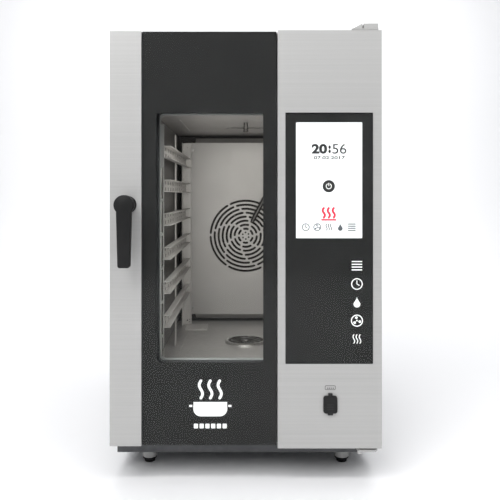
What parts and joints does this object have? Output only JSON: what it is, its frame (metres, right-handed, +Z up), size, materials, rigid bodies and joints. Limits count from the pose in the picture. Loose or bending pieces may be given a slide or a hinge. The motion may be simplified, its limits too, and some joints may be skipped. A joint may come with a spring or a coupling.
{
  "type": "combi steamer oven",
  "caption": "Slim combi steamer oven: full-width hinged door with window, lever handle and touch control column; side racks, fan, heater and wash arm in a steel cabinet on levelling feet.",
  "frame": {"origin": "centre of the overall footprint, on the plane the feet stand on", "axes": "+X to the right seen from the front, +Y from the door to the rear, +Z up"},
  "size_m": [0.519, 0.85, 0.883],
  "materials": {
    "brushed_steel": "horizontally brushed stainless sheet, satin",
    "cavity_steel": "bright-rolled stainless sheet, slightly warm",
    "galvanised": "dull galvanised sheet",
    "polished_steel": "polished stainless",
    "black_plastic": "fine-grained black polyamide",
    "cover_rubber": "soft matte black rubber",
    "black_glass": "glossy black printed glass",
    "clear_glass": "clear tempered glass",
    "silicone": "black silicone, satin",
    "mineral_wool": "matte mineral fibre",
    "circuit_board": "green solder mask with dark components",
    "display": "lit white display behind glass",
    "cast_aluminium": "matte cast aluminium",
    "grey_plastic": "moulded grey plastic"
  },
  "bodies": {
    "root": {"left_side_panel": "brushed_steel", "right_side_panel": "brushed_steel", "top_panel": "brushed_steel", "rear_panel": "brushed_steel", "front_frame": "brushed_steel", "exhaust_stack": "brushed_steel", "hinge_bracket_top": "brushed_steel", "hinge_bracket_bottom": "brushed_steel", "leg_sleeve_front_left": "brushed_steel", "leg_sleeve_front_right": "brushed_steel", "leg_sleeve_rear_left": "brushed_steel", "leg_sleeve_rear_right": "brushed_steel", "cavity_liner": "cavity_steel", "fan_baffle": "cavity_steel", "drain_cover": "cavity_steel", "base_pan": "galvanised", "motor_plate": "galvanised", "strike_cup": "polished_steel", "heating_element": "polished_steel", "humidifier_tube": "polished_steel", "wash_stem": "polished_steel", "hinge_pin_top": "polished_steel", "hinge_pin_bottom": "polished_steel", "cable_gland": "black_plastic", "cooling_fan_frame": "black_plastic", "door_seal": "silicone", "insulation": "mineral_wool", "power_board": "circuit_board", "fan_motor": "cast_aluminium", "condensate_box": "grey_plastic", "drain_outlet": "grey_plastic", "water_inlet_valve": "grey_plastic"},
    "door": {"door_pan": "galvanised", "left_stile": "brushed_steel", "control_housing": "brushed_steel", "outer_glass": "clear_glass", "inner_glass": "clear_glass", "glazing_spacer": "black_plastic", "inner_glass_hinge": "brushed_steel", "drip_channel": "cavity_steel", "control_glass": "black_glass", "display_module": "display", "control_board": "circuit_board", "usb_socket": "black_plastic", "handle_rose": "black_plastic"},
    "handle": {"handle_lever": "black_plastic", "handle_spindle": "polished_steel", "latch_cam": "polished_steel"},
    "usb_flap": {"usb_cover": "cover_rubber"},
    "fan": {"fan_impeller": "polished_steel", "motor_shaft": "polished_steel"},
    "wash_arm": {"wash_rotor": "polished_steel"},
    "cooling_rotor": {"cooling_fan_rotor": "black_plastic"},
    "left_rack": {"rack_left": "cavity_steel"},
    "right_rack": {"rack_right": "cavity_steel"},
    "foot_front_left": {"foot_front_left": "black_plastic"},
    "foot_front_right": {"foot_front_right": "black_plastic"},
    "foot_rear_left": {"foot_rear_left": "black_plastic"},
    "foot_rear_right": {"foot_rear_right": "black_plastic"}
  },
  "joints": [
    {"name": "door_hinge", "type": "hinge", "parent": "root", "child": "door", "pos_m": [0.237, -0.355, 0.47], "axis": [0, 0, 1], "range_deg": [0, 120]},
    {"name": "handle_turn", "type": "hinge", "parent": "door", "child": "handle", "pos_m": [-0.2245, -0.378, 0.5355], "axis": [0, 1, 0], "range_deg": [-90, 90]},
    {"name": "usb_flap_hinge", "type": "hinge", "parent": "door", "child": "usb_flap", "pos_m": [0.1612, -0.3805, 0.1752], "axis": [-1, 0, 0], "range_deg": [0, 110]},
    {"name": "fan_spin", "type": "hinge", "parent": "root", "child": "fan", "pos_m": [0, 0.282, 0.435], "axis": [0, 1, 0], "continuous": true},
    {"name": "wash_spin", "type": "hinge", "parent": "root", "child": "wash_arm", "pos_m": [0, -0.065, 0.714], "axis": [0, 0, 1], "continuous": true},
    {"name": "cooling_spin", "type": "hinge", "parent": "root", "child": "cooling_rotor", "pos_m": [-0.16, 0.39, 0.6], "axis": [0, 1, 0], "continuous": true},
    {"name": "rack_left_lift", "type": "slide", "parent": "root", "child": "left_rack", "axis": [0, 0, 1], "range_m": [0, 0.012]},
    {"name": "rack_right_lift", "type": "slide", "parent": "root", "child": "right_rack", "axis": [0, 0, 1], "range_m": [0, 0.012]},
    {"name": "foot_front_left_level", "type": "slide", "parent": "root", "child": "foot_front_left", "axis": [0, 0, -1], "range_m": [0, 0.015]},
    {"name": "foot_front_right_level", "type": "slide", "parent": "root", "child": "foot_front_right", "axis": [0, 0, -1], "range_m": [0, 0.015]},
    {"name": "foot_rear_left_level", "type": "slide", "parent": "root", "child": "foot_rear_left", "axis": [0, 0, -1], "range_m": [0, 0.015]},
    {"name": "foot_rear_right_level", "type": "slide", "parent": "root", "child": "foot_rear_right", "axis": [0, 0, -1], "range_m": [0, 0.015]}
  ]
}
